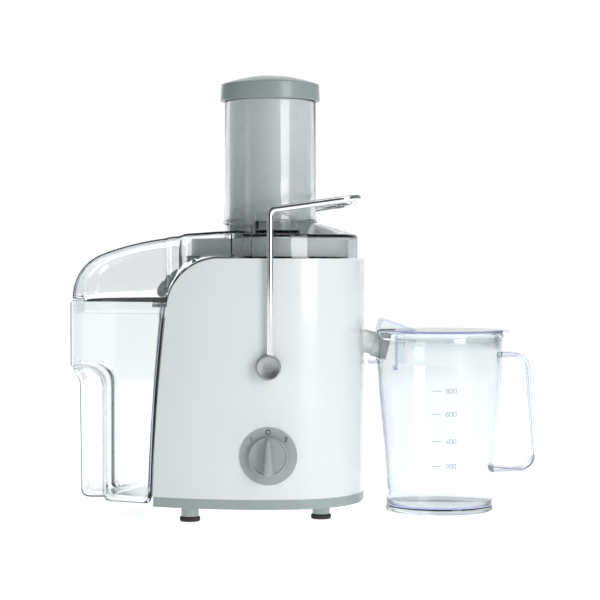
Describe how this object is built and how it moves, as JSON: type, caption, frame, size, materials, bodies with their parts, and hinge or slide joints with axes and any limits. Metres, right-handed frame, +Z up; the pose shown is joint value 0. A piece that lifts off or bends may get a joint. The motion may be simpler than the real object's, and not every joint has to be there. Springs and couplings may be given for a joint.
{
  "type": "centrifugal juicer",
  "caption": "White centrifugal juicer with clear lid and pulp bin, wide chute with pusher, wire bail lock, speed dial and a lidded clear jug.",
  "frame": {"origin": "bottom centre of the whole set's bounding box, on the table", "axes": "+X to the jug, +Y to the back, +Z up; the drive axis stands 31.65 mm to the left of the origin"},
  "size_m": [0.4133, 0.2373, 0.3888],
  "materials": {
    "body_shell": "glossy white ABS",
    "side_panel": "satin grey ABS",
    "base_pan": "satin mid-grey ABS",
    "foot_stems": "satin grey ABS",
    "foot_pads": "black rubber",
    "base_screws": "zinc-plated steel",
    "bowl_seat": "natural grey ABS",
    "motor_bracket": "cast aluminium",
    "motor_mounts": "black rubber bushes",
    "stator_core": "laminated steel",
    "stator_windings": "enamelled copper wire",
    "upper_bearing": "ground steel",
    "lower_bearing": "ground steel",
    "brush_holders": "brown phenolic",
    "carbon_brushes": "carbon",
    "rotary_switch": "black moulded switch",
    "dial_bezel": "satin grey ABS",
    "interlock_switch": "black moulded switch",
    "terminal_block": "ivory nylon",
    "cord_gland": "grey nylon",
    "juice_bowl": "glossy pale grey",
    "bowl_seal": "grey silicone",
    "spout_nozzle": "glossy pale grey",
    "clear_lid": "clear styrene acrylonitrile",
    "motor_shaft": "ground steel",
    "rotor_core": "laminated steel",
    "rotor_windings": "enamelled copper wire",
    "commutator": "copper bars",
    "cooling_fan": "black nylon",
    "drive_coupling": "dark acetal",
    "filter_frame": "pale grey nylon",
    "filter_mesh": "etched stainless steel",
    "grating_disc": "stamped stainless steel",
    "bail_wire": "bright chromed steel",
    "pivot_buttons": "metallic grey paint",
    "dial_knob": "satin silver-grey",
    "dial_shaft": "ground steel",
    "pusher_cap": "satin mid-grey ABS",
    "pusher_tube": "glossy silvery white",
    "pulp_container": "clear styrene acrylonitrile",
    "jug": "clear styrene acrylonitrile",
    "jug_handle": "clear styrene acrylonitrile",
    "jug_lid": "clear styrene acrylonitrile",
    "froth_separator": "clear styrene acrylonitrile"
  },
  "bodies": {
    "base": {"body_shell": "body_shell", "side_panel": "side_panel", "base_pan": "base_pan", "foot_stems": "foot_stems", "foot_pads": "foot_pads", "base_screws": "base_screws", "bowl_seat": "bowl_seat", "motor_bracket": "motor_bracket", "motor_mounts": "motor_mounts", "stator_core": "stator_core", "stator_windings": "stator_windings", "upper_bearing": "upper_bearing", "lower_bearing": "lower_bearing", "brush_holders": "brush_holders", "carbon_brushes": "carbon_brushes", "rotary_switch": "rotary_switch", "dial_bezel": "dial_bezel", "interlock_switch": "interlock_switch", "terminal_block": "terminal_block", "cord_gland": "cord_gland", "juice_bowl": "juice_bowl", "bowl_seal": "bowl_seal", "spout_nozzle": "spout_nozzle", "clear_lid": "clear_lid"},
    "armature": {"motor_shaft": "motor_shaft", "rotor_core": "rotor_core", "rotor_windings": "rotor_windings", "commutator": "commutator", "cooling_fan": "cooling_fan", "drive_coupling": "drive_coupling"},
    "filter_basket": {"filter_frame": "filter_frame", "filter_mesh": "filter_mesh", "grating_disc": "grating_disc"},
    "bail": {"bail_wire": "bail_wire", "pivot_buttons": "pivot_buttons"},
    "speed_dial": {"dial_knob": "dial_knob", "dial_shaft": "dial_shaft"},
    "pusher": {"pusher_cap": "pusher_cap", "pusher_tube": "pusher_tube"},
    "pulp_bin": {"pulp_container": "pulp_container"},
    "juice_jug": {"jug": "jug", "jug_handle": "jug_handle"},
    "jug_cover": {"jug_lid": "jug_lid", "froth_separator": "froth_separator"}
  },
  "joints": [
    {"name": "motor_spin", "type": "hinge", "parent": "base", "child": "armature", "pos_m": [-0.03165, 0.0053, 0.08], "axis": [0, 0, 1], "continuous": true},
    {"name": "filter_spin", "type": "hinge", "parent": "base", "child": "filter_basket", "pos_m": [-0.03165, 0.0053, 0.18], "axis": [0, 0, 1], "continuous": true},
    {"name": "bail_swing", "type": "hinge", "parent": "base", "child": "bail", "pos_m": [-0.03165, 0.0053, 0.133], "axis": [0, 1, 0], "range_deg": [0, 31]},
    {"name": "dial_turn", "type": "hinge", "parent": "base", "child": "speed_dial", "pos_m": [-0.03165, -0.1007, 0.0575], "axis": [0, 1, 0], "range_deg": [-46, 46]},
    {"name": "pusher_lift", "type": "slide", "parent": "base", "child": "pusher", "axis": [0, 0, 1], "range_m": [0, 0.175]},
    {"name": "pulp_bin_pull", "type": "slide", "parent": "base", "child": "pulp_bin", "axis": [-1, 0, 0], "range_m": [0, 0.12]},
    {"name": "jug_pull", "type": "slide", "parent": "base", "child": "juice_jug", "axis": [1, 0, 0], "range_m": [0, 0.12]},
    {"name": "jug_cover_lift", "type": "slide", "parent": "juice_jug", "child": "jug_cover", "axis": [0, 0, 1], "range_m": [0, 0.04]}
  ],
  "couplings": [
    {"joint": "filter_spin", "follows": "motor_spin", "ratio": 1}
  ]
}
